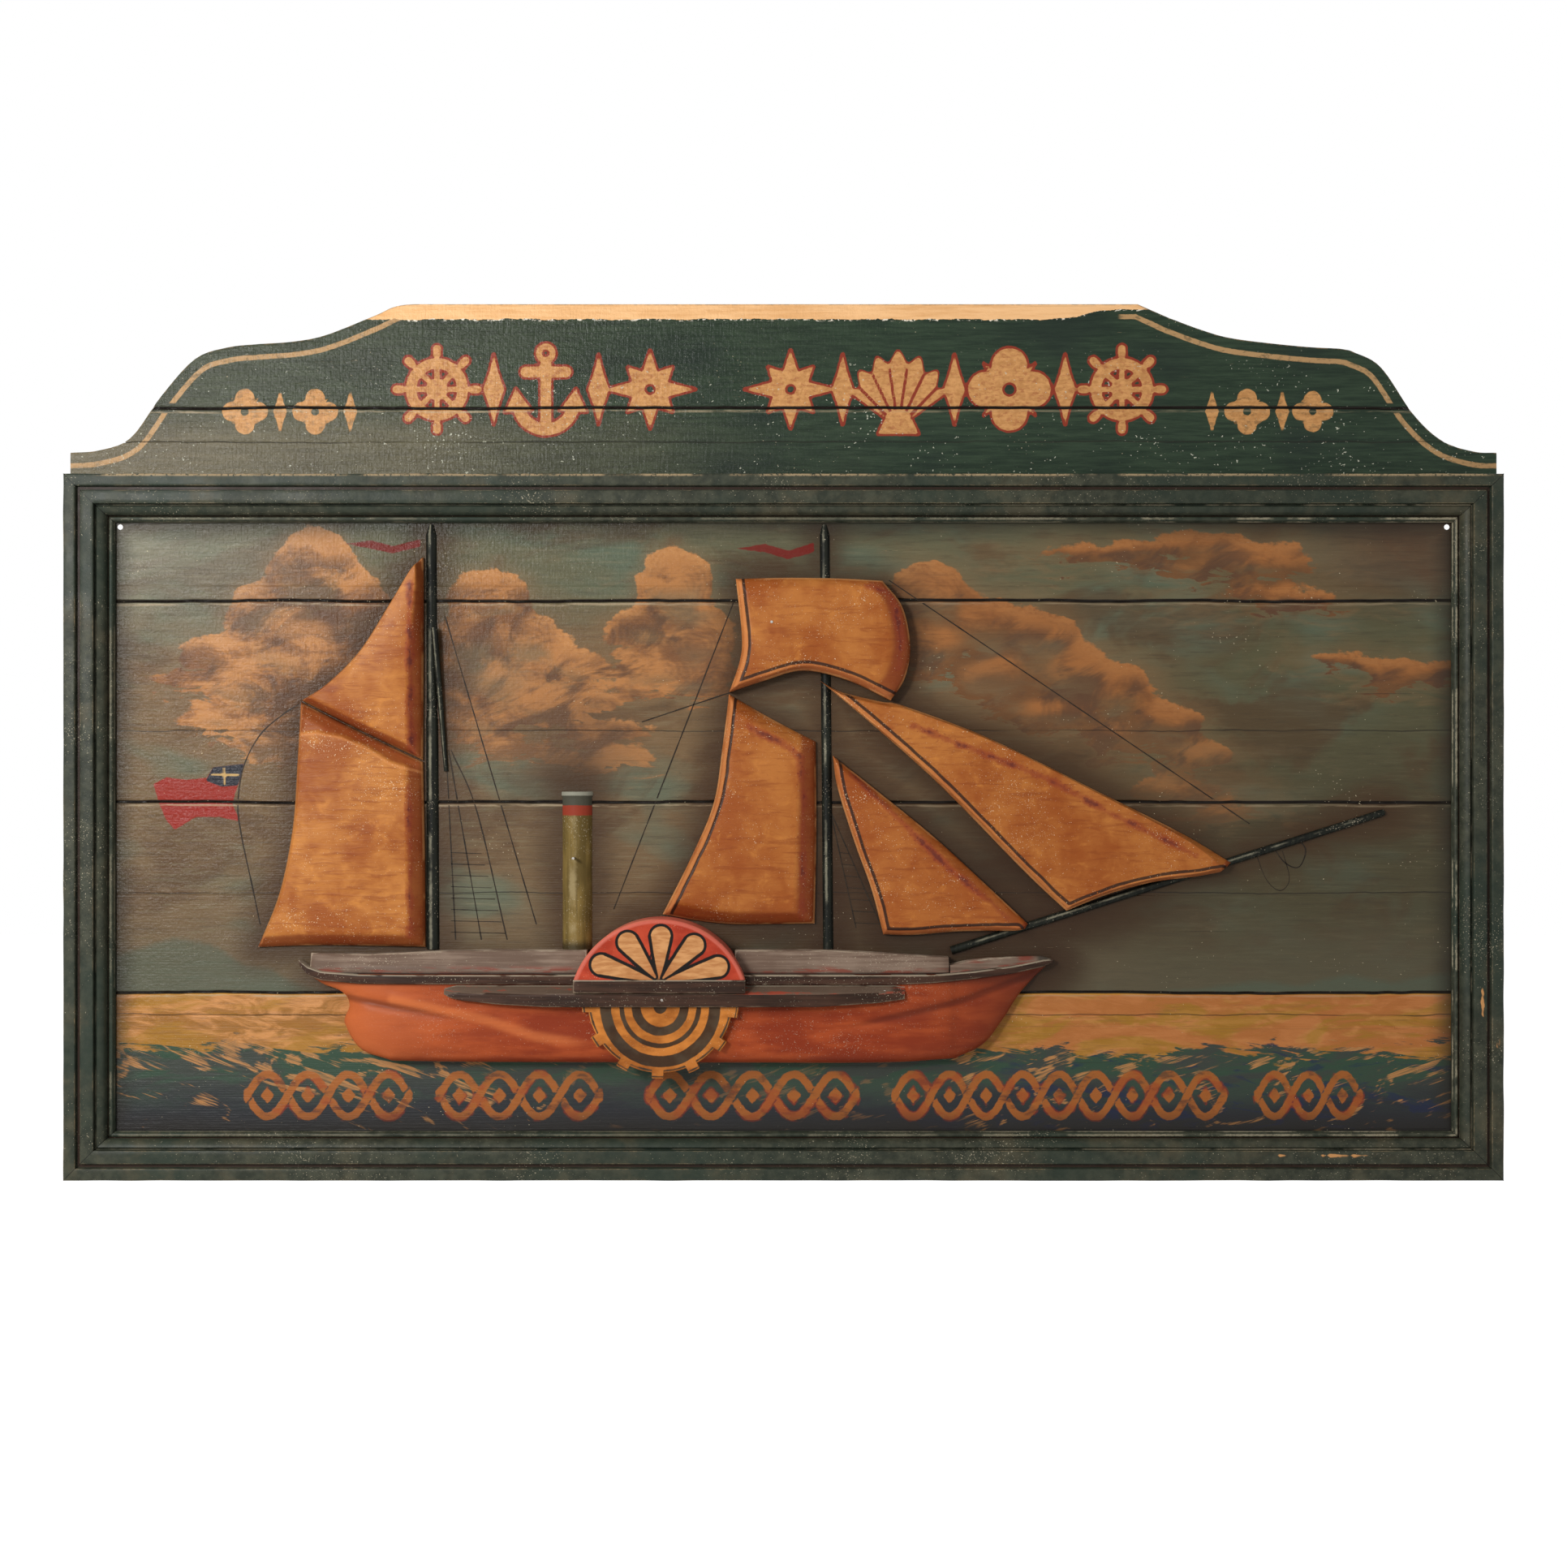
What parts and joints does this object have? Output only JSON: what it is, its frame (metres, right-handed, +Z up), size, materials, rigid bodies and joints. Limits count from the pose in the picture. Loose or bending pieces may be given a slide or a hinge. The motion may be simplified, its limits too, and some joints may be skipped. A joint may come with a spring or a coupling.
{
  "type": "carved storefront sign",
  "caption": "Painted wooden wall sign: shaped board with a moulded frame, a carved paddle steamer in relief, back battens and two wall screw holes.",
  "frame": {"origin": "on the wall face of the middle batten, level with the middle of the sign's overall height", "axes": "+X along the sign's length to the right as seen from the street, +Z up, +Y into the wall; the painted face looks along -Y"},
  "size_m": [1.22, 0.08, 0.7465],
  "materials": {
    "board_paint": "aged oil paint under varnish",
    "frame_paint": "aged gloss paint",
    "bare_pine": "bare, aged",
    "steel": "dull",
    "hull_paint": "aged oil paint under varnish",
    "bulwark_paint": "aged oil paint under varnish",
    "trim_paint": "aged oil paint under varnish",
    "box_paint": "aged oil paint under varnish",
    "wheel_paint": "aged oil paint under varnish",
    "funnel_paint": "aged oil paint under varnish",
    "spar_paint": "aged gloss paint",
    "sail_paint": "aged oil paint under varnish"
  },
  "bodies": {
    "root": {"board_1": "board_paint", "board_2": "board_paint", "board_3": "board_paint", "board_4": "board_paint", "board_5": "board_paint", "board_6": "board_paint", "frame_rail_top": "frame_paint", "frame_rail_bottom": "frame_paint", "frame_rail_left": "frame_paint", "frame_rail_right": "frame_paint", "moulding_top": "frame_paint", "moulding_bottom": "frame_paint", "moulding_left": "frame_paint", "moulding_right": "frame_paint", "batten_left": "bare_pine", "batten_middle": "bare_pine", "batten_right": "bare_pine", "batten_screws": "steel", "hull": "hull_paint", "bulwark_aft": "bulwark_paint", "bulwark_fore": "bulwark_paint", "bulwark_bow": "bulwark_paint", "rail_aft": "trim_paint", "rail_fore": "trim_paint", "guard_board": "trim_paint", "paddle_box": "box_paint", "paddle_box_sill": "trim_paint", "paddle_wheel": "wheel_paint", "funnel": "funnel_paint", "aft_mast": "spar_paint", "fore_mast": "spar_paint", "aft_mast_spar": "spar_paint", "bowsprit": "spar_paint", "gaff_topsail": "sail_paint", "aft_mainsail": "sail_paint", "square_topsail": "sail_paint", "fore_gaff_sail": "sail_paint", "outer_jib": "sail_paint", "inner_jib": "sail_paint", "relief_pins": "steel"}
  },
  "joints": []
}
